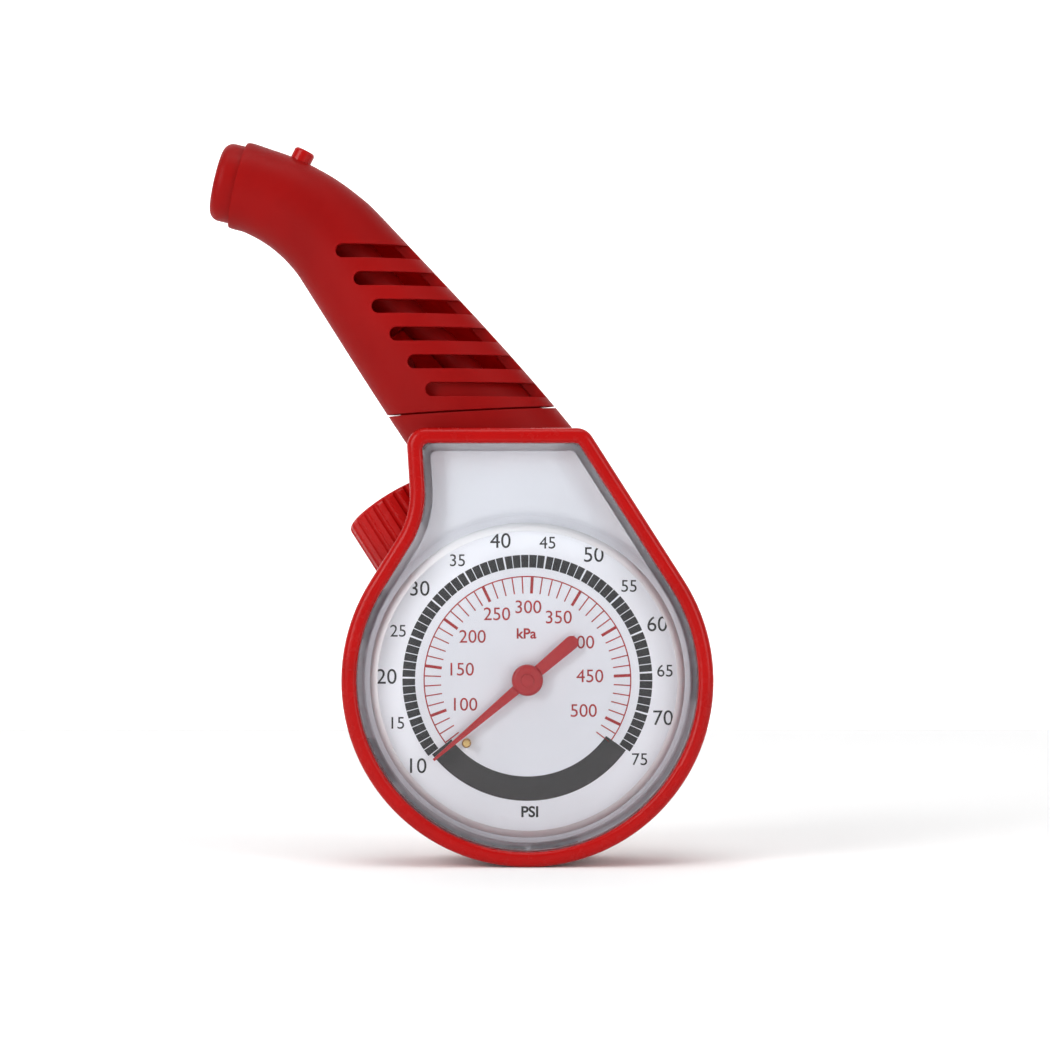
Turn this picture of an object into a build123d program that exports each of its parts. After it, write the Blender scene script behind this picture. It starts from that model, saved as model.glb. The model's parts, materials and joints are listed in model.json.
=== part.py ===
from build123d import *
import os
from math import cos, radians, sin

# Dial tyre pressure gauge with an angled chuck handle. Millimetres.
# The gauge stands upright: the dial faces -Y, +X is to the reader's right and +Z is up. The origin is
# on the pointer's axis, on the flat back of the case. A height h is measured forwards from that back
# face, so that the plane at height h is Plane.XZ.offset(h).

# ---------------------------------------------------------------- driving dimensions
# Head outline: a circle round the dial, drawn out to a flat top above it.
head_radius = 30.7
head_top = 41.7
right_tangent = 32.6
left_tangent = 148.0
flank_length = 8.5
waist_radius = 14.0
waist_flare = 3.6
head_corner = 3.0

# Stack of the head, from the back.
case_depth = 18.0
case_wall = 2.0
case_inset = 0.6
plate_thickness = 0.6
flange_thickness = 1.2
bezel_depth = 6.0
rim_width = 2.5
rebate_inset = 1.5
plate_h = case_depth
flange_h = plate_h + plate_thickness
ledge_h = flange_h + flange_thickness
bezel_h = case_depth + bezel_depth

# Grip: an oval tube along a bent spine, from the chuck's mouth to inside the head.
grip_h = 9.0
elbow = Vector(-37.6, 80.4)
tip_slope = 13.4
grip_slope = 52.2
bend_radius = 32.0
tip_run = 15.2
grip_run = 64.0
collar_distance = 3.7
grip_wall = 1.8
collar_half_width = 7.3
neck_half_width = 12.3
neck_half_depth = 7.9
swell_power = 0.85
seam_left = Vector(-23.4, 0, 44.1)
seam_slope = 3.0
seam_gap = 0.3
spigot_length = 6.0
neck_start = 42.0
fit = 0.1

# Slots in the grip's front shell.
slot_count = 6
slot_height = 2.35
slot_pitch = 4.63
slot_step = 3.0
slot_length = 25.0
first_slot = Vector(-32.0, 71.5)
slot_lip = 1.2

# Chuck, along the straight end of the spine.
nozzle_radius = 6.65
nozzle_play = 0.4
bore_radius = 4.15
bore_length = 6.8
seal_thickness = 1.6
seal_radius = 4.6
tail_radius = 2.4
tail_end = 17.0
air_radius = 1.0

# Release button, square to the spine.
button_distance = 11.3
button_radius = 1.8
button_height = 1.8
valve_floor = 1.9
valve_mouth = 4.6
valve_bore = 2.2

# Fluted bleed wheel at the left of the head.
wheel_radius = 8.0
wheel_length = 10.0
wheel_flutes = 24
wheel_corner = Vector(-30.2, 25.2)
wheel_lean = 9.0
wheel_gap = 0.4
stem_radius = 1.6

# Movement behind the dial.
tooth_module = 0.2
pinion_teeth = 10
sector_teeth = 100
mesh_play = 0.12
sector_bearing = 240.0
spindle_radius = 0.6
arbor_radius = 0.7
rear_plate_h = 5.0
front_plate_h = 13.0
movement_plate = 1.0
gear_h = 9.0
gear_thickness = 1.0
tube_radius = 17.5
tube_start = 78.0
tube_end = 340.0
pointer_bearing = 220.4
pointer_h = 20.0


# ---------------------------------------------------------------- shared geometry
def polar(radius, bearing):
    """The point at a radius and a bearing in degrees from +X, in the plane of the dial."""
    return Vector(radius * cos(radians(bearing)), radius * sin(radians(bearing)))


def head_sketch(inset, h, corner=head_corner):
    """The head's outline, moved inwards by inset, on the plane at height h."""
    radius = head_radius - inset
    top = head_top - inset
    right_foot = polar(radius, right_tangent)
    right_rise = (top - right_foot.Y) / cos(radians(right_tangent))
    right_top = right_foot + polar(right_rise, right_tangent + 90)
    left_foot = polar(radius, left_tangent)
    flank_top = left_foot + polar(flank_length, left_tangent - 90)
    waist_centre = flank_top + polar(waist_radius + inset, left_tangent)
    lean = left_tangent - 180
    waist_top = waist_centre + polar(waist_radius + inset, waist_flare)
    left_rise = (top - waist_top.Y) / cos(radians(waist_flare))
    left_top = waist_top + polar(left_rise, waist_flare + 90)
    with BuildSketch(Plane.XZ.offset(h)) as outline:
        with BuildLine():
            Polyline(right_foot, right_top, left_top, waist_top)
            CenterArc(waist_centre, waist_radius + inset, waist_flare, lean - waist_flare)
            Line(flank_top, left_foot)
            CenterArc((0, 0), radius, left_tangent, 360 - left_tangent + right_tangent)
        make_face()
        fillet(outline.vertices().sort_by(Axis.Y)[-2:], corner)
    return outline.sketch


tip_direction = polar(1, -tip_slope)
grip_direction = polar(1, -grip_slope)
spine = Plane.XZ.offset(grip_h) * FilletPolyline(
    elbow - tip_direction * tip_run,
    elbow,
    elbow + grip_direction * grip_run,
    radius=bend_radius,
)
spine_wire = Wire(spine.edges())
spine_length = spine_wire.length


def spine_plane(distance):
    """The plane across the spine: Z runs down the grip and X points to its outer edge."""
    origin = spine_wire.position_at(distance, position_mode=PositionMode.LENGTH)
    along = spine_wire.tangent_at(distance, position_mode=PositionMode.LENGTH)
    return Plane(origin=origin, x_dir=(-along.Z, 0, along.X), z_dir=along)


def grip_swell(distance):
    """0 at the collar, 1 at the end of the neck, with a smooth rise between."""
    share = ((distance - collar_distance) / (spine_length - collar_distance)) ** swell_power
    return share * share * (3 - 2 * share)


def grip_half_width(distance):
    return collar_half_width + (neck_half_width - collar_half_width) * grip_swell(distance)


def grip_half_depth(distance):
    return collar_half_width + (neck_half_depth - collar_half_width) * grip_swell(distance)


def grip_solid(inset, first=collar_distance, stations=26):
    """The grip's oval body, made smaller all round by inset, from a distance to the spine's end."""
    with BuildPart() as body:
        for index in range(stations + 1):
            distance = first + (spine_length - first) * index / stations
            with BuildSketch(spine_plane(distance)):
                Ellipse(grip_half_width(distance) - inset, grip_half_depth(distance) - inset)
        loft()
    return body.part


seam_plane = Plane(origin=seam_left, z_dir=(-sin(radians(seam_slope)), 0, cos(radians(seam_slope))))
parting_plane = Plane.XZ.offset(grip_h)
grip_outer = grip_solid(0)
grip_inner = grip_solid(grip_wall)
mouth = spine_plane(0)
mouth_axis = Axis(mouth.origin, mouth.z_dir)
button_seat = spine_plane(button_distance)
button_plane = Plane(origin=button_seat.origin, x_dir=(0, 1, 0), z_dir=button_seat.x_dir)
button_surface = grip_half_width(button_distance)


def disc(plane, radius, length):
    """A round bar that stands on a plane."""
    with BuildPart() as bar:
        with BuildSketch(plane):
            Circle(radius)
        extrude(amount=length)
    return bar.part


# ---------------------------------------------------------------- head
with BuildPart() as front_bezel:
    extrude(head_sketch(0, case_depth), amount=bezel_depth)
    extrude(head_sketch(rim_width, case_depth, 1.1), amount=bezel_depth, mode=Mode.SUBTRACT)
    extrude(head_sketch(rebate_inset, case_depth, 1.6), amount=ledge_h - case_depth, mode=Mode.SUBTRACT)
    fillet(front_bezel.faces().sort_by(Axis.Y)[0].outer_wire().edges(), 1.3)
    fillet(front_bezel.faces().sort_by(Axis.Y)[0].inner_wires().edges(), 0.7)

panel_thickness = 1.2
plateau_radius = 27.4
plateau_height = 2.6
plateau_slope = 28
lens_wall = 1.3
panel_h = ledge_h + panel_thickness
with BuildPart() as lens:
    extrude(head_sketch(rebate_inset + fit, flange_h, 1.5), amount=flange_thickness)
    extrude(head_sketch(rim_width + fit, ledge_h, 1.0), amount=panel_thickness)
    with BuildSketch(Plane.XZ.offset(panel_h)):
        Circle(plateau_radius)
    extrude(amount=plateau_height, taper=plateau_slope)
    extrude(head_sketch(rim_width + 1.2, flange_h, 1.0), amount=flange_thickness, mode=Mode.SUBTRACT)
    with BuildSketch(Plane.XZ.offset(ledge_h)):
        Circle(plateau_radius - lens_wall)
    extrude(amount=plateau_height, taper=plateau_slope, mode=Mode.SUBTRACT)
    fillet(lens.faces().sort_by(Axis.Y)[0].edges(), 0.5)

pin_radius = 0.75
pin_centre = polar(14.5, 226)
with BuildPart() as dial_plate:
    extrude(head_sketch(rebate_inset + fit, plate_h, 1.5), amount=plate_thickness)
    with BuildSketch(Plane.XZ.offset(plate_h)):
        Circle(1.0)
        with Locations(pin_centre):
            Circle(pin_radius)
    extrude(amount=plate_thickness, mode=Mode.SUBTRACT)

with BuildPart() as stop_pin:
    with BuildSketch(Plane.XZ.offset(plate_h - 0.6)):
        with Locations(pin_centre):
            Circle(pin_radius)
    extrude(amount=3.6)
    chamfer(stop_pin.faces().sort_by(Axis.Y)[0].edges(), 0.2)

hub_radius = 2.6
hub_length = 1.7
hub_drop = 0.4
cap_radius = 1.1
cap_height = 0.35
blade_thickness = 0.5
blade_root = 0.9
blade_tip = 0.22
tail_half_width = 1.15
tip_reach = 20.4
tail_reach = 10.7
pointer_aim = polar(1, pointer_bearing)
pointer_plane = Plane(origin=(0, -pointer_h, 0), x_dir=(pointer_aim.X, 0, pointer_aim.Y), z_dir=(0, -1, 0))
with BuildPart() as pointer:
    with BuildSketch(Plane.XZ.offset(pointer_h - hub_drop)):
        Circle(hub_radius)
    extrude(amount=hub_length)
    fillet(pointer.faces().sort_by(Axis.Y)[0].edges(), 0.7)
    with BuildSketch(Plane.XZ.offset(pointer_h - hub_drop + hub_length)):
        Circle(cap_radius)
    extrude(amount=cap_height)
    fillet(pointer.faces().sort_by(Axis.Y)[0].edges(), 0.25)
    with BuildSketch(pointer_plane):
        with BuildLine():
            Polyline(
                (0, blade_root),
                (tip_reach, blade_tip),
                (tip_reach, -blade_tip),
                (0, -blade_root),
                close=True,
            )
        make_face()
        with BuildLine():
            Polyline(
                (0, blade_root),
                (tail_half_width - tail_reach, tail_half_width),
                (tail_half_width - tail_reach, -tail_half_width),
                (0, -blade_root),
                close=True,
            )
        make_face()
        with Locations((tail_half_width - tail_reach, 0)):
            Circle(tail_half_width)
    extrude(amount=blade_thickness)
    with BuildSketch(Plane.XZ.offset(pointer_h - hub_drop)):
        Circle(spindle_radius)
    extrude(amount=hub_drop + 0.6, mode=Mode.SUBTRACT)


# ---------------------------------------------------------------- bleed wheel place
wheel_along = Vector(cos(radians(grip_slope + 5)), 0, -sin(radians(grip_slope + 5)))
wheel_axis_dir = wheel_along * cos(radians(wheel_lean)) - Vector(0, sin(radians(wheel_lean)), 0)
wheel_across = Vector(-wheel_along.Z, 0, wheel_along.X)
wheel_top = Vector(wheel_corner.X, 0, wheel_corner.Y) + wheel_across * wheel_radius
wheel_middle = wheel_top + wheel_along * (wheel_length / 2)
wheel_origin = Vector(wheel_middle.X, -grip_h, wheel_middle.Z) - wheel_axis_dir * (wheel_length / 2)
wheel_plane = Plane(origin=wheel_origin, x_dir=wheel_across, z_dir=wheel_axis_dir)
stem_boss_start = wheel_length + 0.8
stem_boss_length = 4.0
stem_boss_radius = 3.4
stem_end = wheel_length + 6.0

with BuildPart() as bleed_wheel:
    with BuildSketch(wheel_plane):
        Circle(wheel_radius)
    extrude(amount=wheel_length)
    fillet(bleed_wheel.faces().sort_by(Axis(wheel_plane.origin, wheel_plane.z_dir))[0].edges(), 1.0)
    with BuildSketch(wheel_plane):
        with PolarLocations(wheel_radius + 0.25, wheel_flutes):
            Circle(0.6)
    extrude(amount=wheel_length, mode=Mode.SUBTRACT)
    with BuildSketch(wheel_plane.offset(3)):
        Circle(stem_radius)
    extrude(amount=wheel_length, mode=Mode.SUBTRACT)

with BuildPart() as wheel_spindle:
    with BuildSketch(wheel_plane.offset(3)):
        Circle(stem_radius)
    extrude(amount=stem_end - 3)
    chamfer(wheel_spindle.faces().sort_by(Axis(wheel_plane.origin, wheel_plane.z_dir))[-1].edges(), 0.5)

with BuildPart() as wheel_seal:
    with BuildSketch(wheel_plane.offset(stem_boss_start + 0.4)):
        Circle(2.5)
        Circle(stem_radius + 0.05, mode=Mode.SUBTRACT)
    extrude(amount=1.2)


# ---------------------------------------------------------------- movement places
pitch_radius = tooth_module * pinion_teeth / 2
sector_radius = tooth_module * sector_teeth / 2
sector_pivot = polar(pitch_radius + sector_radius + mesh_play, sector_bearing)
front_post = polar(7.0, sector_bearing - 180)
side_post = sector_pivot + polar(4.5, 190)
post_radius = 2.0
tail_length = 4.0
tail_bearing = -76.8
tail_pin = sector_pivot + polar(tail_length, tail_bearing)
end_pin = polar(15.0, tube_end + 3.5)
link_pin_radius = 0.45
link_h = 10.3
socket_centre = Vector(6.0, 17.7)
socket_width = 6.8
socket_height = 7.8
socket_h = 4.0
socket_depth = 10.0
socket_screw_gap = 4.6


def disc_at(centre, h, radius, length):
    """A round bar that stands on the plane at height h, square to the dial."""
    return disc(Plane(origin=(centre.X, -h, centre.Y), x_dir=(1, 0, 0), z_dir=(0, -1, 0)), radius, length)


# ---------------------------------------------------------------- rear case with its neck
neck_bore = grip_solid(grip_wall + fit + 1.3, neck_start, 4)
with BuildPart() as spigot:
    add(grip_solid(grip_wall + fit, neck_start, 4))
    split(bisect_by=seam_plane.offset(spigot_length), keep=Keep.BOTTOM)

socket_screws_at = [socket_centre + Vector(0, step * socket_screw_gap / 2) for step in (-1, 1)]
wheel_boss_plane = wheel_plane.offset(stem_boss_start)
pocket_lead = 4.0
pocket_length = pocket_lead + wheel_length + wheel_gap
boss_foot = 3.6
boss_middle = wheel_boss_plane.origin + wheel_axis_dir * (stem_boss_length / 2)
with BuildPart() as rear_case:
    extrude(head_sketch(case_inset, 0), amount=case_depth)
    fillet(rear_case.faces().sort_by(Axis.Y)[-1].edges(), 2.5)
    add(grip_solid(0, neck_start, 4))
    split(bisect_by=seam_plane.offset(-seam_gap / 2), keep=Keep.BOTTOM)
    add(spigot.part)
    extrude(head_sketch(case_inset + case_wall, case_wall, 1.5), amount=case_depth, mode=Mode.SUBTRACT)
    add(neck_bore, mode=Mode.SUBTRACT)
    with BuildSketch(Plane.XZ.offset(case_wall)):
        with Locations(socket_centre):
            Rectangle(socket_width, socket_height)
    extrude(amount=socket_h - case_wall)
    with BuildSketch(Plane.XZ.offset(case_wall)):
        with Locations(front_post, side_post):
            Circle(post_radius)
    extrude(amount=rear_plate_h - case_wall)
    with BuildSketch(Plane.XZ.offset(case_wall)):
        with Locations((boss_middle.X, boss_middle.Z)):
            Rectangle(boss_foot, boss_foot)
    extrude(amount=grip_h - case_wall)
    add(disc(wheel_boss_plane, stem_boss_radius, stem_boss_length))
    add(disc(wheel_plane.offset(-pocket_lead), wheel_radius + wheel_gap, pocket_length), mode=Mode.SUBTRACT)
    add(disc(wheel_plane, stem_radius + 0.05, stem_end + 1), mode=Mode.SUBTRACT)
    add(disc(wheel_boss_plane.offset(0.4), 2.5, 1.2), mode=Mode.SUBTRACT)
    with BuildSketch(Plane.XZ):
        with Locations(*socket_screws_at):
            Circle(1.2)
    extrude(amount=socket_h, mode=Mode.SUBTRACT)
    with BuildSketch(Plane.XZ):
        with Locations(*socket_screws_at):
            Circle(2.0)
    extrude(amount=1.8, mode=Mode.SUBTRACT)
    with BuildSketch(Plane.XZ.offset(3)):
        with Locations(front_post, side_post):
            Circle(0.6)
    extrude(amount=3, mode=Mode.SUBTRACT)


# ---------------------------------------------------------------- grip shells
def grip_shell(side):
    """Half of the grip's tube, cut off at the seam."""
    with BuildPart() as shell:
        add(grip_outer)
        add(grip_inner, mode=Mode.SUBTRACT)
        split(bisect_by=seam_plane.offset(seam_gap / 2), keep=Keep.TOP)
        split(bisect_by=parting_plane, keep=side)
    return shell.part


def beside_spine(distance, offset):
    """The point beside the spine, towards the grip's outer edge, in the plane of the dial."""
    point = spine_plane(distance).from_local_coords(Vector(offset, 0, 0))
    return Vector(point.X, point.Z)


with BuildPart() as slot_cutter:
    with BuildSketch(Plane.XZ.offset(grip_h + slot_lip)):
        for index in range(slot_count):
            left_end = first_slot + Vector(slot_step, -slot_pitch) * index
            with Locations(left_end + Vector(slot_length / 2, 0)):
                SlotOverall(slot_length, slot_height)
    extrude(amount=slot_length)

button_hole = disc(button_plane, button_radius + 0.15, 15)
screw_places = [beside_spine(17.5, -3.4), beside_spine(46.5, -4.4)]
screw_post_radius = 2.3
screw_radius = 1.0
screw_head_radius = 1.7
screw_head_h = 5.0
screw_grip = 4.5


def screw_posts(low, length):
    """The posts that hold the grip's screws, kept inside the grip."""
    with BuildPart() as posts:
        for place in screw_places:
            add(disc_at(place, low, screw_post_radius, length))
        add(grip_outer, mode=Mode.INTERSECT)
    return posts.part


with BuildPart() as handle_front_shell:
    add(grip_shell(Keep.TOP))
    add(screw_posts(grip_h, 10))
    add(slot_cutter.part, mode=Mode.SUBTRACT)
    add(button_hole, mode=Mode.SUBTRACT)
    for place in screw_places:
        add(disc_at(place, grip_h, screw_radius, screw_grip), mode=Mode.SUBTRACT)

with BuildPart() as handle_rear_shell:
    add(grip_shell(Keep.BOTTOM))
    add(button_hole, mode=Mode.SUBTRACT)
    add(screw_posts(0, grip_h))
    for place in screw_places:
        add(disc_at(place, 0, screw_radius, grip_h), mode=Mode.SUBTRACT)
        add(disc_at(place, 0, screw_head_radius + 0.1, screw_head_h), mode=Mode.SUBTRACT)


def cross_slot(plane, radius, depth):
    """The cutter for a cross recess in a screw head whose face lies on the plane."""
    with BuildPart() as cross:
        with BuildSketch(plane):
            Rectangle(radius * 1.3, radius * 0.3)
            Rectangle(radius * 0.3, radius * 1.3)
        extrude(amount=depth)
    return cross.part


def screws(places, head_h, head_radius, head_depth, shank_radius, shank_length, forwards):
    """Round-headed screws side by side, with their shanks pointing forwards or backwards."""
    way = -1 if forwards else 1
    with BuildPart() as group:
        for place in places:
            seat = Plane(origin=(place.X, -head_h, place.Y), x_dir=(1, 0, 0), z_dir=(0, -way, 0))
            add(disc(seat, head_radius, head_depth))
            add(disc(seat, shank_radius, -shank_length))
            add(cross_slot(seat.offset(head_depth), head_radius, -head_depth / 2), mode=Mode.SUBTRACT)
    return group


handle_screws = screws(screw_places, screw_head_h, screw_head_radius, 1.2, screw_radius, 8.0, True)
socket_screws = screws(socket_screws_at, 1.8, 1.9, 1.3, 1.2, 6.2, True)


# ---------------------------------------------------------------- chuck and release button
with BuildPart() as nozzle:
    with BuildSketch(mouth):
        Circle(nozzle_radius)
    extrude(amount=collar_distance)
    fillet(nozzle.faces().sort_by(mouth_axis)[0].edges(), 1.7)
    with BuildSketch(mouth):
        Circle(collar_half_width - grip_wall - nozzle_play)
    extrude(amount=bore_length + seal_thickness)
    with BuildSketch(mouth):
        Circle(bore_radius)
    extrude(amount=bore_length, mode=Mode.SUBTRACT)
    with BuildSketch(mouth.offset(bore_length)):
        Circle(seal_radius)
    extrude(amount=seal_thickness, mode=Mode.SUBTRACT)
    chamfer(nozzle.faces().sort_by(mouth_axis)[0].inner_wires().edges(), 0.4)

with BuildPart() as valve_seal:
    with BuildSketch(mouth.offset(bore_length)):
        Circle(seal_radius)
        Circle(1.9, mode=Mode.SUBTRACT)
    extrude(amount=seal_thickness)
    chamfer(valve_seal.faces().sort_by(mouth_axis)[0].inner_wires().edges(), 0.5)

body_start = bore_length + seal_thickness
flange_length = 1.0
depressor_depth = 0.7
pin_bore = 0.8
pin_clearance = 0.8
with BuildPart() as chuck_body:
    add(disc(mouth.offset(body_start), 4.7, flange_length))
    add(disc(mouth.offset(body_start), tail_radius, tail_end - 2 - body_start))
    add(disc(button_plane, 2.6, valve_mouth))
    add(disc(mouth.offset(body_start), 2.2, depressor_depth), mode=Mode.SUBTRACT)
    add(disc(mouth.offset(body_start), air_radius, tail_end), mode=Mode.SUBTRACT)
    add(disc(button_plane.offset(valve_floor), valve_bore, valve_mouth), mode=Mode.SUBTRACT)
    add(disc(button_plane.offset(-pin_clearance), pin_bore, valve_mouth), mode=Mode.SUBTRACT)

with BuildPart() as core_depressor:
    with BuildSketch(mouth.offset(body_start)):
        Circle(2.2)
        with PolarLocations(1.5, 4):
            Circle(0.4, mode=Mode.SUBTRACT)
    extrude(amount=depressor_depth)
    with BuildSketch(mouth.offset(bore_length + 0.6)):
        Circle(0.8)
    extrude(amount=body_start - bore_length - 0.6)

flange_top = valve_mouth + 0.1
with BuildPart() as release_button:
    add(disc(button_plane.offset(flange_top - 0.6), 2.05, 0.6))
    add(disc(button_plane.offset(flange_top), button_radius, button_surface + button_height - flange_top))
    chamfer(release_button.faces().sort_by(Axis(button_plane.origin, button_plane.z_dir))[-1].edges(), 0.3)
    add(disc(button_plane.offset(0.9), 0.7, flange_top - 1.2))

spring_wire = 0.15
spring_plane = button_plane.offset(valve_floor + spring_wire + 0.03)
spring_foot = spring_plane.origin
spring_way = spring_plane.z_dir
with BuildPart() as button_spring:
    with BuildLine():
        coil = Helix(pitch=0.36, height=0.6, radius=1.5, center=spring_foot, direction=spring_way)
    with BuildSketch(Plane(coil @ 0, z_dir=coil % 0)):
        Circle(spring_wire)
    sweep()

with BuildPart() as button_seal:
    with BuildSketch(button_plane.offset(valve_floor)):
        Circle(1.2)
        Circle(0.74, mode=Mode.SUBTRACT)
    extrude(amount=0.5)


# ---------------------------------------------------------------- air tube and Bourdon tube
socket_top = socket_centre + Vector(0, socket_height / 2)
tail_tip = mouth.from_local_coords(Vector(0, 0, tail_end - 2))
pipe_radius = 2.5
barrel_radius = 3.6
barrel_bore = 2.4
barrel_top = beside_spine(22.5, 1.0)
barrel_end = beside_spine(41.5, 1.0)
shoulder = 1.2
hose_radius = 1.5
hose_grip = 3.0
pipe_route = [
    beside_spine(41.0, 2.0),
    beside_spine(49.0, 3.6),
    beside_spine(71.0, 4.8),
    socket_top + Vector(0, 8.0),
    socket_top,
]
hose_start = Vector(tail_tip.X, tail_tip.Z)
barrel_run = barrel_end - barrel_top
barrel_way = barrel_run.normalized()
hose_rise = (barrel_top - hose_start).cross(barrel_way).Z / tip_direction.cross(barrel_way).Z
hose_corner = hose_start + tip_direction * hose_rise
hose_route = [hose_start, hose_corner, barrel_top + barrel_way * hose_grip]


def tube_along(route, radius, bore, bends):
    """A round tube along straight runs joined by arcs, in the middle plane of the grip."""
    points = [Vector(point.X, -grip_h, point.Y) for point in route]
    with BuildPart() as tube:
        with BuildLine():
            FilletPolyline(*points, radius=bends)
        with BuildSketch(Plane(origin=points[0], z_dir=points[1] - points[0])):
            Circle(radius)
            Circle(bore, mode=Mode.SUBTRACT)
        sweep()
    return tube


barrel_plane = Plane(
    origin=(barrel_top.X, -grip_h, barrel_top.Y),
    x_dir=(0, -1, 0),
    z_dir=(barrel_run.X, 0, barrel_run.Y),
)
with BuildPart() as air_pipe:
    add(tube_along(pipe_route, pipe_radius, air_radius, [40, 40, 12]).part)
    add(disc(barrel_plane, barrel_radius, barrel_run.length))
    barrel_mouth = air_pipe.faces().sort_by(Axis(barrel_plane.origin, barrel_plane.z_dir))[0]
    chamfer(barrel_mouth.outer_wire().edges(), 0.4)
    add(disc(barrel_plane, hose_radius, hose_grip), mode=Mode.SUBTRACT)
    chamber_length = barrel_run.length - shoulder - hose_grip
    add(disc(barrel_plane.offset(hose_grip), barrel_bore, chamber_length), mode=Mode.SUBTRACT)
    add(disc(barrel_plane.offset(hose_grip), air_radius, chamber_length + shoulder), mode=Mode.SUBTRACT)
chuck_hose = tube_along(hose_route, hose_radius, 0.8, 4)

section_width = 1.8
section_depth = 6.0


def tube_plane(bearing):
    """The plane across the Bourdon tube: X points outwards from the dial's centre, Y backwards."""
    out = polar(1, bearing)
    return Plane(origin=(0, 0, 0), x_dir=(out.X, 0, out.Y), z_dir=(-out.Y, 0, out.X))


forward_axis = Axis((0, 0, 0), (0, -1, 0))
with BuildPart() as bourdon_tube:
    with BuildSketch(tube_plane(tube_start)):
        with Locations((tube_radius, -grip_h)):
            SlotOverall(section_depth, section_width, rotation=90)
            SlotOverall(section_depth - 0.6, section_width - 0.6, rotation=90, mode=Mode.SUBTRACT)
    revolve(axis=forward_axis, revolution_arc=tube_end - tube_start)

with BuildPart() as bourdon_socket:
    with BuildSketch(Plane.XZ.offset(socket_h)):
        with Locations(socket_centre):
            Rectangle(socket_width, socket_height)
    extrude(amount=socket_depth)
    chamfer(bourdon_socket.edges().filter_by(Axis.Y), 0.5)
    with BuildSketch(tube_plane(tube_start)):
        with Locations((tube_radius, -grip_h)):
            SlotOverall(section_depth, section_width, rotation=90)
    revolve(axis=forward_axis, revolution_arc=20, mode=Mode.SUBTRACT)
    for place in socket_screws_at:
        add(disc_at(place, socket_h, 1.2, 4.0), mode=Mode.SUBTRACT)

cap_h = 6.2
cap_top_h = 10.0
with BuildPart() as tube_end_piece:
    with BuildSketch(tube_plane(tube_end)):
        with Locations((tube_radius, -(cap_h + cap_top_h) / 2)):
            Rectangle(section_width + 0.6, cap_top_h - cap_h)
    revolve(axis=forward_axis, revolution_arc=7)
    with BuildSketch(tube_plane(tube_end + 1)):
        with Locations((tube_radius - 2.0, 0.5 - cap_top_h)):
            Rectangle(3.2, 1.0)
    revolve(axis=forward_axis, revolution_arc=5)
    add(disc_at(end_pin, cap_top_h - 0.5, link_pin_radius, link_h + 1.1 - cap_top_h + 0.5))


# ---------------------------------------------------------------- movement
link_vector = end_pin - tail_pin
link_plane = Plane(
    origin=(tail_pin.X, -link_h, tail_pin.Y), x_dir=(link_vector.X, 0, link_vector.Y), z_dir=(0, -1, 0)
)
link_travel = 1.9
with BuildPart() as link:
    with BuildSketch(link_plane):
        with Locations((link_vector.length / 2, 0)):
            SlotOverall(link_vector.length + 2.4, 2.4)
        Circle(link_pin_radius + 0.05, mode=Mode.SUBTRACT)
        with Locations((link_vector.length - link_travel / 2, 0)):
            SlotOverall(link_travel + 1.4, 1.4, mode=Mode.SUBTRACT)
    extrude(amount=0.6)


def toothed_ring(centre, root, tip, teeth, first_bearing, count, root_share, tip_share):
    """Teeth round a wheel, as a sketch in the plane of the dial: each one narrows towards its tip."""
    pitch = 360 / teeth
    with BuildSketch() as ring:
        for index in range(count):
            bearing = first_bearing + index * pitch
            corners = [
                centre + polar(root - 0.2, bearing - pitch * root_share / 2),
                centre + polar(tip, bearing - pitch * tip_share / 2),
                centre + polar(tip, bearing + pitch * tip_share / 2),
                centre + polar(root - 0.2, bearing + pitch * root_share / 2),
            ]
            with BuildLine():
                Polyline(*corners, close=True)
            make_face()
    return ring.sketch


sector_teeth_made = 12
tooth_pitch = 360 / sector_teeth
contact = sector_bearing - 180
first_tooth = contact + 2.5 * tooth_pitch - (sector_teeth_made - 1) * tooth_pitch
fan_low = first_tooth - tooth_pitch
fan_high = contact + 3.5 * tooth_pitch
sector_root = sector_radius - 0.28
arbor_length = front_plate_h + movement_plate - rear_plate_h - 0.2
with BuildPart() as sector_gear:
    with BuildSketch(Plane.XZ.offset(gear_h)):
        with Locations(sector_pivot):
            Circle(1.7)
        with BuildLine():
            Line(sector_pivot, sector_pivot + polar(sector_root, fan_low))
            CenterArc(sector_pivot, sector_root, fan_low, fan_high - fan_low)
            Line(sector_pivot + polar(sector_root, fan_high), sector_pivot)
        make_face()
        with BuildLine():
            Polyline(
                sector_pivot + polar(1.4, tail_bearing - 90),
                tail_pin + polar(0.9, tail_bearing - 90),
                tail_pin + polar(0.9, tail_bearing + 90),
                sector_pivot + polar(1.4, tail_bearing + 90),
                close=True,
            )
        make_face()
        with Locations(tail_pin):
            Circle(0.9)
        add(toothed_ring(sector_pivot, sector_root, sector_radius + 0.18, sector_teeth,
                         first_tooth, sector_teeth_made, 0.46, 0.26))
    extrude(amount=gear_thickness)
    add(disc_at(sector_pivot, rear_plate_h + 0.1, arbor_radius, arbor_length))
    add(disc_at(tail_pin, gear_h, link_pin_radius, link_h + 1.0 - gear_h))

pinion_h = gear_h - 0.4
with BuildPart() as pinion_spindle:
    with BuildSketch(Plane.XZ.offset(pinion_h)):
        Circle(0.74)
        add(toothed_ring(Vector(0, 0), 0.74, pitch_radius + 0.18, pinion_teeth, sector_bearing,
                         pinion_teeth, 0.5, 0.3))
    extrude(amount=1.8)
    add(disc_at(Vector(0, 0), rear_plate_h + 0.1, spindle_radius, pointer_h + 0.6 - rear_plate_h - 0.1))


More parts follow.
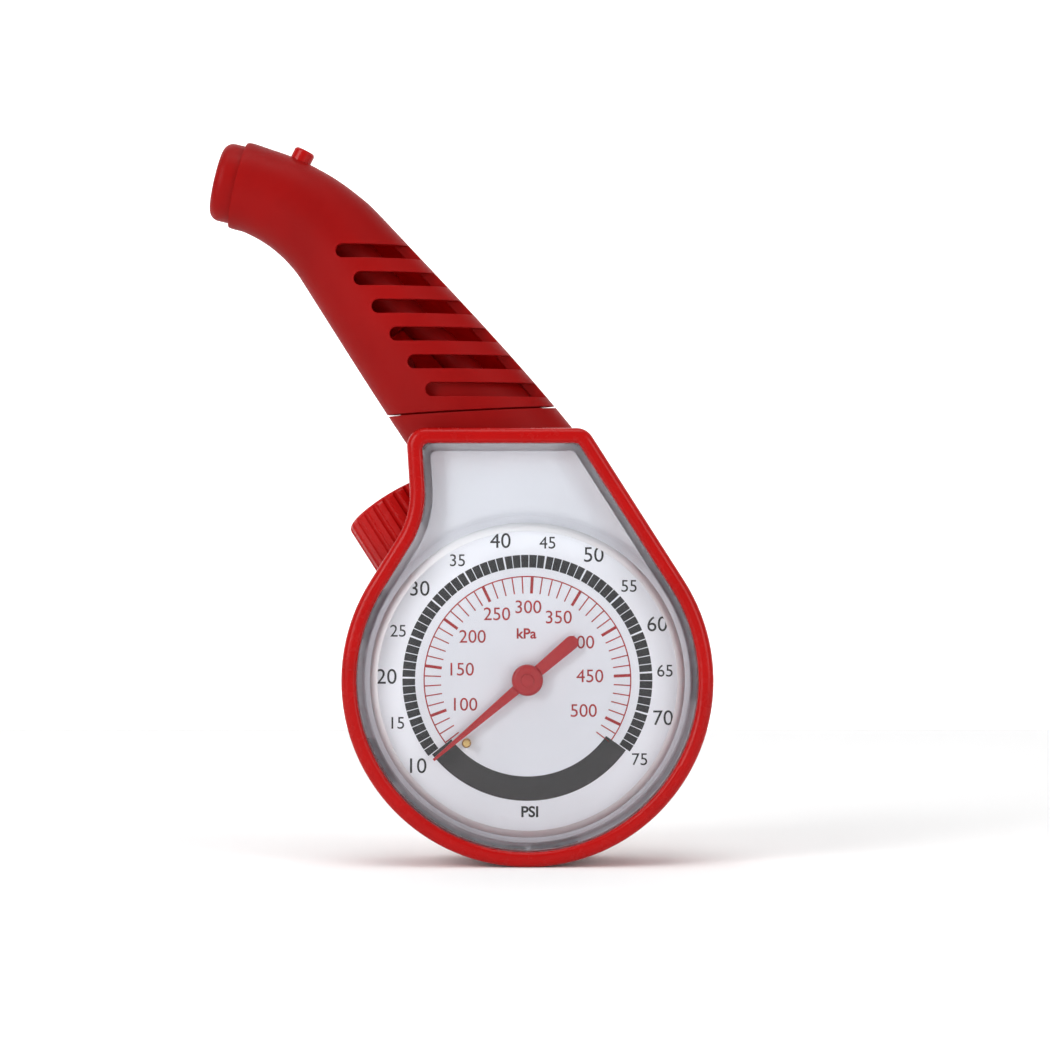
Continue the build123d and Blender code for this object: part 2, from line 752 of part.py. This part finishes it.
def movement_plate_at(h):
    """A brass plate that carries the spindle and the sector between its two posts."""
    with BuildPart() as plate:
        with BuildSketch(Plane.XZ.offset(h)):
            with Locations((front_post + sector_pivot) / 2):
                SlotOverall((front_post - sector_pivot).length + 5, 5, rotation=contact)
            with Locations((side_post + sector_pivot) / 2):
                SlotOverall((side_post - sector_pivot).length + 4.4, 4.4, rotation=10)
            Circle(spindle_radius + 0.05, mode=Mode.SUBTRACT)
            with Locations(sector_pivot):
                Circle(arbor_radius + 0.05, mode=Mode.SUBTRACT)
            with Locations(front_post, side_post):
                Circle(0.65, mode=Mode.SUBTRACT)
        extrude(amount=movement_plate)
    return plate


movement_rear_plate = movement_plate_at(rear_plate_h)
movement_front_plate = movement_plate_at(front_plate_h)
pillar_h = rear_plate_h + movement_plate
with BuildPart() as movement_pillars:
    with BuildSketch(Plane.XZ.offset(pillar_h)):
        with Locations(front_post, side_post):
            Circle(1.4)
            Circle(0.65, mode=Mode.SUBTRACT)
    extrude(amount=front_plate_h - pillar_h)
movement_screws = screws(
    [front_post, side_post], front_plate_h + movement_plate, 1.2, 0.8, 0.6, 10.5, False
)

coil_gap = 0.55
with BuildPart() as hairspring:
    with BuildSketch(Plane.XZ.offset(11.2)):
        with BuildLine():
            for turn in range(8):
                side = 1 if turn % 2 == 0 else -1
                middle = Vector(-side * coil_gap / 4 + coil_gap / 4, 0)
                CenterArc(middle, 1.1 + turn * coil_gap / 2, 0 if side > 0 else 180, 180)
        trace(line_width=0.18)
    extrude(amount=0.5)


# ---------------------------------------------------------------- written pieces
pieces = {
    "front_bezel": front_bezel,
    "lens": lens,
    "dial_plate": dial_plate,
    "stop_pin": stop_pin,
    "pointer": pointer,
    "rear_case": rear_case,
    "handle_front_shell": handle_front_shell,
    "handle_rear_shell": handle_rear_shell,
    "handle_screws": handle_screws,
    "socket_screws": socket_screws,
    "nozzle": nozzle,
    "valve_seal": valve_seal,
    "chuck_body": chuck_body,
    "core_depressor": core_depressor,
    "release_button": release_button,
    "button_spring": button_spring,
    "button_seal": button_seal,
    "bleed_wheel": bleed_wheel,
    "wheel_spindle": wheel_spindle,
    "wheel_seal": wheel_seal,
    "air_pipe": air_pipe,
    "chuck_hose": chuck_hose,
    "bourdon_socket": bourdon_socket,
    "bourdon_tube": bourdon_tube,
    "tube_end_piece": tube_end_piece,
    "link": link,
    "sector_gear": sector_gear,
    "pinion_spindle": pinion_spindle,
    "hairspring": hairspring,
    "movement_rear_plate": movement_rear_plate,
    "movement_front_plate": movement_front_plate,
    "movement_pillars": movement_pillars,
    "movement_screws": movement_screws,
}
os.makedirs("parts", exist_ok=True)
for name, piece in pieces.items():
    piece.part.label = name
    export_step(piece.part, f"parts/{name}.step")
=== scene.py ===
import json
import math

import bmesh
import bpy
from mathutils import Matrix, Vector


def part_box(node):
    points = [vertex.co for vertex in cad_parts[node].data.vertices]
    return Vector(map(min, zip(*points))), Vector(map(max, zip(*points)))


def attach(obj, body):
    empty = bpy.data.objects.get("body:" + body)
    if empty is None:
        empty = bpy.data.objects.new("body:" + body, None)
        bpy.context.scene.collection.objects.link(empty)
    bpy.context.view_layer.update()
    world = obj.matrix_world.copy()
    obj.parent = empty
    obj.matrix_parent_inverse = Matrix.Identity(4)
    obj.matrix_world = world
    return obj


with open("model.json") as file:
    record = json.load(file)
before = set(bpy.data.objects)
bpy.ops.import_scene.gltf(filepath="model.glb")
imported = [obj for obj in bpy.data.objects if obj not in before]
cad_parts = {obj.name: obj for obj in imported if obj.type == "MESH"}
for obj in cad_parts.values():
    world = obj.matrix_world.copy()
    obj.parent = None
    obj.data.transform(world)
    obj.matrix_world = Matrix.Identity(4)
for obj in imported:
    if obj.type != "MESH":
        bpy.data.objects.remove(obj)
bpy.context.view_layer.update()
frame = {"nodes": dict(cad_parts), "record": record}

# Dial tyre gauge. Lengths are in metres; mm turns millimetres into them. The dial faces -Y and the
# pointer's axis passes through the origin, so places on the dial are (x, z) from that axis.
mm = 0.001

# ---------------------------------------------------------------- sizes from the frame
dial_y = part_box("dial_plate")[0].y
bezel_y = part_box("front_bezel")[0].y
floor_z = min(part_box(node)[0].z for node in frame["nodes"])
print_height = 0.03 * mm
cap_share = 0.72  # the height of a capital as a share of the font's size

# The scale: 10 to 75 psi over an arc that opens downwards, read clockwise.
first_psi = 10
last_psi = 75
first_bearing = 218.0
degrees_per_psi = 3.9
kpa_per_psi = 6.895
block_radii = (18.65 * mm, 20.75 * mm)
band_radii = (16.05 * mm, 20.1 * mm)
arc_radius = 17.15 * mm
tens_size = (2.55 * mm, 23.4 * mm)  # height of the numbers and radius of their ring
fives_size = (2.05 * mm, 22.9 * mm)
kpa_height = 2.2 * mm


# ---------------------------------------------------------------- small helpers
def bearing_of(psi):
    """The bearing on the dial, in degrees anticlockwise from +X, of a pressure in psi."""
    return first_bearing - degrees_per_psi * (psi - first_psi)


def polar(radius, bearing):
    """The point (x, z) at a radius and a bearing in degrees."""
    return (radius * math.cos(math.radians(bearing)), radius * math.sin(math.radians(bearing)))


def ring_sector(inner, outer, start, end, step=1.5):
    """The outline of a piece of a flat ring between two bearings."""
    count = max(2, int(abs(end - start) / step) + 2)
    bearings = [start + (end - start) * index / (count - 1) for index in range(count)]
    return [polar(outer, b) for b in bearings] + [polar(inner, b) for b in reversed(bearings)]


def new_object(name, mesh):
    """Puts a mesh into the scene as a piece."""
    piece = bpy.data.objects.new(name, mesh)
    bpy.context.scene.collection.objects.link(piece)
    return piece


def printed(name, outlines, material):
    """A layer of ink on the dial: each outline, given as (x, z) points, becomes a thin flat prism."""
    mesh = bpy.data.meshes.new(name)
    work = bmesh.new()
    for outline in outlines:
        low = [work.verts.new((x, dial_y, z)) for x, z in outline]
        high = [work.verts.new((x, dial_y - print_height, z)) for x, z in outline]
        count = len(outline)
        work.faces.new(high)
        work.faces.new(list(reversed(low)))
        for index in range(count):
            after = (index + 1) % count
            work.faces.new((low[index], low[after], high[after], high[index]))
    bmesh.ops.recalc_face_normals(work, faces=work.faces)
    work.to_mesh(mesh)
    work.free()
    piece = new_object(name, mesh)
    finish_print(piece, material)
    return piece


def finish_print(piece, material):
    """Every printed layer takes its ink and rides on the case."""
    piece.data.materials.clear()
    piece.data.materials.append(material)
    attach(piece, "root")


def lettering(name, labels, material, weight=0.0):
    """One layer of upright numbers or words; each label is (text, height, (x, z))."""
    work = bmesh.new()
    for text, height, place in labels:
        curve = bpy.data.curves.new(name + "_curve", "FONT")
        curve.body = text
        curve.align_x = "CENTER"
        curve.align_y = "CENTER"
        curve.size = height / cap_share
        curve.offset = weight
        curve.extrude = print_height / 2
        holder = new_object(name + "_text", curve)
        holder.rotation_euler = (math.radians(90), 0, 0)
        holder.location = (place[0], dial_y - print_height / 2, place[1])
        bpy.context.view_layer.update()
        solved = holder.evaluated_get(bpy.context.evaluated_depsgraph_get())
        mesh = bpy.data.meshes.new_from_object(solved)
        mesh.transform(holder.matrix_world)
        work.from_mesh(mesh)
        bpy.data.objects.remove(holder)
        bpy.data.curves.remove(curve)
        bpy.data.meshes.remove(mesh)
    bmesh.ops.remove_doubles(work, verts=work.verts, dist=0.0005 * mm)
    bmesh.ops.recalc_face_normals(work, faces=work.faces)
    mesh = bpy.data.meshes.new(name)
    work.to_mesh(mesh)
    work.free()
    piece = new_object(name, mesh)
    finish_print(piece, material)
    return piece


# ---------------------------------------------------------------- materials
class Look:
    """A material under construction: its principled shader and short ways to add nodes to it."""

    def __init__(self, name):
        self.material = bpy.data.materials.new(name)
        self.material.use_nodes = True
        self.nodes = self.material.node_tree.nodes
        self.links = self.material.node_tree.links
        self.shader = self.nodes["Principled BSDF"]
        self.place = self.nodes.new("ShaderNodeTexCoord").outputs["Object"]

    def set(self, **values):
        """Sets constant shader sockets; an underscore in a name stands for a space."""
        for name, value in values.items():
            self.shader.inputs[name.replace("_", " ")].default_value = value

    def noise(self, scale, detail=3.0, stretch=(1, 1, 1), roughness=0.5):
        """A noise pattern in object space; scale is in features per metre."""
        mapping = self.nodes.new("ShaderNodeMapping")
        mapping.inputs["Scale"].default_value = stretch
        self.links.new(self.place, mapping.inputs["Vector"])
        pattern = self.nodes.new("ShaderNodeTexNoise")
        pattern.inputs["Scale"].default_value = scale
        pattern.inputs["Detail"].default_value = detail
        pattern.inputs["Roughness"].default_value = roughness
        self.links.new(mapping.outputs["Vector"], pattern.inputs["Vector"])
        return pattern.outputs["Fac"]

    def cells(self, scale):
        """A pattern of small rounded cells, as spark-eroded mould tools leave on plastic."""
        pattern = self.nodes.new("ShaderNodeTexVoronoi")
        pattern.inputs["Scale"].default_value = scale
        self.links.new(self.place, pattern.inputs["Vector"])
        return pattern.outputs["Distance"]

    def colours(self, value, stops):
        """Drives the base colour from a pattern through a list of (position, colour)."""
        ramp = self.nodes.new("ShaderNodeValToRGB")
        elements = ramp.color_ramp.elements
        while len(elements) < len(stops):
            elements.new(0.5)
        for element, (position, colour) in zip(elements, stops):
            element.position = position
            element.color = (*colour, 1)
        self.links.new(value, ramp.inputs["Fac"])
        self.links.new(ramp.outputs["Color"], self.shader.inputs["Base Color"])

    def roughness(self, value, low, high):
        """Lets the roughness wander between two values with a pattern."""
        spread = self.nodes.new("ShaderNodeMapRange")
        spread.inputs["From Min"].default_value = 0.3
        spread.inputs["From Max"].default_value = 0.7
        spread.inputs["To Min"].default_value = low
        spread.inputs["To Max"].default_value = high
        self.links.new(value, spread.inputs["Value"])
        self.links.new(spread.outputs["Result"], self.shader.inputs["Roughness"])

    def bumps(self, layers, edge=0.0):
        """Stacks bump layers, each (pattern, strength, depth), over edges softened by a small radius."""
        normal = None
        if edge:
            soft = self.nodes.new("ShaderNodeBevel")
            soft.samples = 4
            soft.inputs["Radius"].default_value = edge
            normal = soft.outputs["Normal"]
        for pattern, strength, depth in layers:
            bump = self.nodes.new("ShaderNodeBump")
            bump.inputs["Strength"].default_value = strength
            bump.inputs["Distance"].default_value = depth
            self.links.new(pattern, bump.inputs["Height"])
            if normal:
                self.links.new(normal, bump.inputs["Normal"])
            normal = bump.outputs["Normal"]
        self.links.new(normal, self.shader.inputs["Normal"])

    def glow_through(self, colour, share):
        """Lets a share of the light from behind soak through, as thin coloured plastic does."""
        soak = self.nodes.new("ShaderNodeBsdfTranslucent")
        soak.inputs["Color"].default_value = (*colour, 1)
        mix = self.nodes.new("ShaderNodeMixShader")
        mix.inputs["Fac"].default_value = share
        self.links.new(self.shader.outputs["BSDF"], mix.inputs[1])
        self.links.new(soak.outputs["BSDF"], mix.inputs[2])
        self.links.new(mix.outputs["Shader"], self.nodes["Material Output"].inputs["Surface"])


def shade(colour, factor):
    return tuple(channel * factor for channel in colour)


def gloss_red():
    """Polished red moulding: faint flow marks, a soft orange-peel surface and fine scuffs."""
    look = Look("gloss_red")
    red = (0.37, 0.0035, 0.0032)
    flow = look.noise(45, 4, (1, 1, 2.5))
    look.colours(flow, [(0.3, shade(red, 0.90)), (0.7, shade(red, 1.06))])
    look.roughness(look.noise(700, 5), 0.20, 0.30)
    look.set(IOR=1.50, Specular_IOR_Level=0.14)
    ripple = (look.noise(260, 2), 0.10, 0.05 * mm)
    haze = (look.noise(2600, 3), 0.05, 0.02 * mm)
    look.bumps([ripple, haze], 0.15 * mm)
    return look.material


def satin_red():
    """Red moulding with the fine grain of an eroded mould; thin enough for light to soak through."""
    look = Look("satin_red")
    red = (0.33, 0.0030, 0.0028)
    look.colours(look.noise(60, 4), [(0.3, shade(red, 0.88)), (0.7, shade(red, 1.08))])
    look.roughness(look.noise(1500, 4), 0.40, 0.52)
    look.set(IOR=1.50, Specular_IOR_Level=0.14)
    grain = (look.cells(3600), 0.28, 0.05 * mm)
    unevenness = (look.noise(1800, 4), 0.30, 0.05 * mm)
    look.bumps([grain, unevenness], 0.2 * mm)
    look.glow_through((0.75, 0.012, 0.010), 0.32)
    return look.material


def clear_plastic():
    """Clear acrylic: the dial is seen straight through it, and steep faces catch more of the room."""
    look = Look("clear")
    acrylic_ior = 1.49
    edge_ior = 1.32
    look.set(Base_Color=(0.80, 0.82, 0.85, 1), IOR=acrylic_ior)
    look.roughness(look.noise(900, 4), 0.02, 0.05)
    look.bumps([(look.noise(35, 2), 0.03, 0.04 * mm)])
    passing = look.nodes.new("ShaderNodeBsdfTransparent")
    passing.inputs["Color"].default_value = (1.0, 1.0, 1.0, 1)
    edge = look.nodes.new("ShaderNodeFresnel")
    edge.inputs["IOR"].default_value = edge_ior
    mix = look.nodes.new("ShaderNodeMixShader")
    look.links.new(edge.outputs["Fac"], mix.inputs["Fac"])
    look.links.new(passing.outputs["BSDF"], mix.inputs[1])
    look.links.new(look.shader.outputs["BSDF"], mix.inputs[2])
    look.links.new(mix.outputs["Shader"], look.nodes["Material Output"].inputs["Surface"])
    return look.material


def dial_white():
    """White enamel on a thin plate, a little blue, with a faint mottle."""
    look = Look("dial_white")
    white = (0.90, 0.92, 0.98)
    look.colours(look.noise(120, 3), [(0.3, shade(white, 0.98)), (0.7, shade(white, 1.02))])
    look.roughness(look.noise(1200, 3), 0.38, 0.50)
    look.bumps([(look.noise(2200, 3), 0.05, 0.02 * mm)])
    return look.material


def ink(name, colour):
    """Screen-printed ink: slightly uneven in tone and gloss."""
    look = Look(name)
    look.colours(look.noise(900, 4), [(0.3, shade(colour, 0.85)), (0.7, shade(colour, 1.15))])
    look.roughness(look.noise(1500, 3), 0.45, 0.60)
    look.bumps([(look.noise(4000, 2), 0.1, 0.01 * mm)])
    return look.material


def pointer_red():
    """Painted pointer: smooth lacquer with a trace of texture."""
    look = Look("pointer_red")
    red = (0.50, 0.004, 0.009)
    look.colours(look.noise(300, 3), [(0.3, shade(red, 0.92)), (0.7, shade(red, 1.05))])
    look.roughness(look.noise(1600, 3), 0.28, 0.38)
    look.bumps([(look.noise(2500, 2), 0.06, 0.02 * mm)], 0.1 * mm)
    return look.material


def metal(name, colour, low, high, stretch):
    """Machined metal: fine tool lines along one direction and uneven polish."""
    look = Look(name)
    look.colours(look.noise(400, 4), [(0.3, shade(colour, 0.82)), (0.7, shade(colour, 1.05))])
    look.set(Metallic=1.0)
    look.roughness(look.noise(900, 5, stretch), low, high)
    look.bumps([(look.noise(2500, 4, stretch), 0.15, 0.02 * mm)], 0.08 * mm)
    return look.material


def rubber():
    """Black rubber, slightly dusty, with a fine moulded grain."""
    look = Look("rubber")
    black = (0.02, 0.02, 0.022)
    look.colours(look.noise(500, 4), [(0.3, black), (0.75, shade(black, 2.2))])
    look.roughness(look.noise(1200, 4), 0.62, 0.82)
    look.bumps([(look.cells(2500), 0.2, 0.04 * mm)])
    return look.material


def stage_white(name, value, glow):
    """The pale, very slightly uneven surface of the studio, lit from behind where it glows."""
    look = Look(name)
    tone = (value, value, value)
    look.colours(look.noise(6, 3), [(0.3, shade(tone, 0.995)), (0.7, tone)])
    look.set(Roughness=0.9, Emission_Color=(1, 1, 1, 1), Emission_Strength=glow)
    return look.material


slot_looks = {
    "gloss_red": gloss_red(),
    "satin_red": satin_red(),
    "clear": clear_plastic(),
    "dial_white": dial_white(),
    "pointer_red": pointer_red(),
    "brass": metal("brass", (0.72, 0.50, 0.20), 0.22, 0.42, (1, 6, 1)),
    "steel": metal("steel", (0.60, 0.60, 0.61), 0.20, 0.38, (6, 1, 1)),
    "rubber": rubber(),
}
for subpart in frame["record"]["subparts"]:
    node = frame["nodes"][subpart["node"]]
    for material_slot in node.material_slots:
        material_slot.material = slot_looks[subpart["material_slot"]]

black_ink = ink("black_ink", (0.012, 0.012, 0.014))
grey_ink = ink("grey_ink", (0.035, 0.032, 0.033))
red_ink = ink("red_ink", (0.42, 0.012, 0.016))


# ---------------------------------------------------------------- dial print
def psi_blocks():
    """One block for each psi; the gap is wider where a number stands."""
    narrow_gap = 0.38
    wide_gap = 0.85
    outlines = []
    for psi in range(first_psi, last_psi):
        start_gap = wide_gap if psi % 5 == 0 else narrow_gap
        end_gap = wide_gap if (psi + 1) % 5 == 0 else narrow_gap
        start = bearing_of(psi) - start_gap / 2
        end = bearing_of(psi + 1) + end_gap / 2
        outlines.append(ring_sector(block_radii[0], block_radii[1], start, end))
    return printed("psi_blocks", outlines, black_ink)


def dark_band():
    """The dark arc across the foot of the dial, from one end of the scale to the other."""
    start = first_bearing
    end = bearing_of(last_psi) + 360
    return printed("dark_band", [ring_sector(band_radii[0], band_radii[1], start, end)], grey_ink)


def kpa_scale():
    """The red inner scale: a thin arc with a tick for each 10 kPa and a heavy one for each 50."""
    thin = 0.20 * mm
    thick = 0.48 * mm
    tick_length = 2.8 * mm
    start = bearing_of(first_psi)
    end = bearing_of(last_psi)
    outlines = [ring_sector(arc_radius - thin / 2, arc_radius + thin / 2, start, end)]
    for kpa in range(70, 521, 10):
        bearing = bearing_of(kpa / kpa_per_psi)
        width = thick if kpa % 50 == 0 else thin
        along = Vector(polar(1, bearing))
        across = Vector((-along.y, along.x)) * (width / 2)
        outer = along * (arc_radius - thin / 2)
        inner = along * (arc_radius - tick_length)
        corners = (outer - across, outer + across, inner + across, inner - across)
        outlines.append([(corner.x, corner.y) for corner in corners])
    return printed("kpa_scale", outlines, red_ink)


def psi_numbers():
    """Black numbers round the outside, larger for the tens."""
    labels = []
    for psi in range(first_psi, last_psi + 1, 5):
        height, radius = tens_size if psi % 10 == 0 else fives_size
        labels.append((str(psi), height, polar(radius, bearing_of(psi))))
    return lettering("psi_numbers", labels, black_ink)


def kpa_numbers():
    """Red numbers inside the inner scale, on a ring a little narrower than it is tall."""
    labels = []
    ring_height = 12.0 * mm
    ring_width = 10.8 * mm
    shift = -0.4 * mm
    for kpa in range(100, 501, 50):
        across, up = polar(1, bearing_of(kpa / kpa_per_psi))
        labels.append((str(kpa), kpa_height, (shift + ring_width * across, ring_height * up)))
    return lettering("kpa_numbers", labels, red_ink)


psi_blocks()
dark_band()
kpa_scale()
psi_numbers()
kpa_numbers()
kpa_place = (-0.2 * mm, 7.6 * mm)
psi_place = (0.4 * mm, -22.0 * mm)
lettering("kpa_unit", [("kPa", 1.7 * mm, kpa_place)], red_ink, weight=0.05 * mm)
lettering("psi_unit", [("PSI", 1.8 * mm, psi_place)], black_ink, weight=0.06 * mm)


# ---------------------------------------------------------------- studio
def swept_sheet(name, profile, look):
    """A wide stage sheet drawn through (y, height) points above the floor."""
    width = 3.0
    mesh = bpy.data.meshes.new(name)
    work = bmesh.new()
    rows = []
    for y, z in profile:
        rows.append([work.verts.new((x, y, floor_z + z)) for x in (-width / 2, width / 2)])
    for before, after in zip(rows, rows[1:]):
        work.faces.new((before[0], before[1], after[1], after[0]))
    for face in work.faces:
        face.smooth = True
    work.to_mesh(mesh)
    work.free()
    sheet = new_object(name, mesh)
    sheet.data.materials.append(look)


def studio_stage():
    """A pale floor, and a white backdrop lit from behind that curves up from its far edge."""
    front = -1.6
    back = 0.35
    curve_radius = 0.3
    wall_height = 2.0
    steps = 12
    curve = []
    for index in range(steps + 1):
        angle = math.radians(90) * index / steps
        curve.append((back + curve_radius * math.sin(angle), curve_radius * (1 - math.cos(angle))))
    swept_sheet("studio_floor", [(front, 0.0), (back, 0.0)], stage_white("floor_white", 0.9, 0.0))
    wall = curve + [(back + curve_radius, wall_height)]
    swept_sheet("backdrop", wall, stage_white("backdrop_white", 0.8, 0.6))


def softbox(name, place, target, size, power):
    """A large rectangular lamp aimed at a point."""
    light = bpy.data.lights.new(name, "AREA")
    light.shape = "RECTANGLE"
    light.size, light.size_y = size
    light.energy = power
    lamp = bpy.data.objects.new(name, light)
    lamp.location = place
    lamp.rotation_euler = (Vector(target) - Vector(place)).to_track_quat("-Z", "Y").to_euler()
    bpy.context.scene.collection.objects.link(lamp)


def studio_lights():
    """A key from the left and above, a weaker fill, a top box and a bright, even surround."""
    centre = (0, 0, 0.03)
    surround_strength = 0.32
    softbox("key_left", (-0.55, -0.55, 0.35), centre, (0.35, 0.6), 5.0)
    softbox("fill_right", (0.7, -0.6, 0.25), centre, (0.4, 0.6), 3.6)
    softbox("top", (0.0, -0.15, 0.8), centre, (0.5, 0.35), 2.2)
    world = bpy.data.worlds.new("surround")
    world.use_nodes = True
    background = world.node_tree.nodes["Background"]
    background.inputs["Color"].default_value = (1, 1, 1, 1)
    background.inputs["Strength"].default_value = surround_strength
    bpy.context.scene.world = world


def camera():
    """A long lens held level, square to the dial, at the height of the middle of the gauge."""
    distance = 0.55
    view_width = 172.64 * mm
    view_centre = (-0.4 * mm, 25.7 * mm)
    data = bpy.data.cameras.new("camera")
    data.sensor_width = 36
    data.lens = data.sensor_width * distance / view_width
    data.clip_start = 0.01
    eye = bpy.data.objects.new("camera", data)
    eye.location = (view_centre[0], bezel_y - distance, view_centre[1])
    eye.rotation_euler = (math.radians(90), 0, 0)
    bpy.context.scene.collection.objects.link(eye)
    bpy.context.scene.camera = eye


studio_stage()
studio_lights()
camera()
bpy.context.scene.view_settings.view_transform = "Standard"
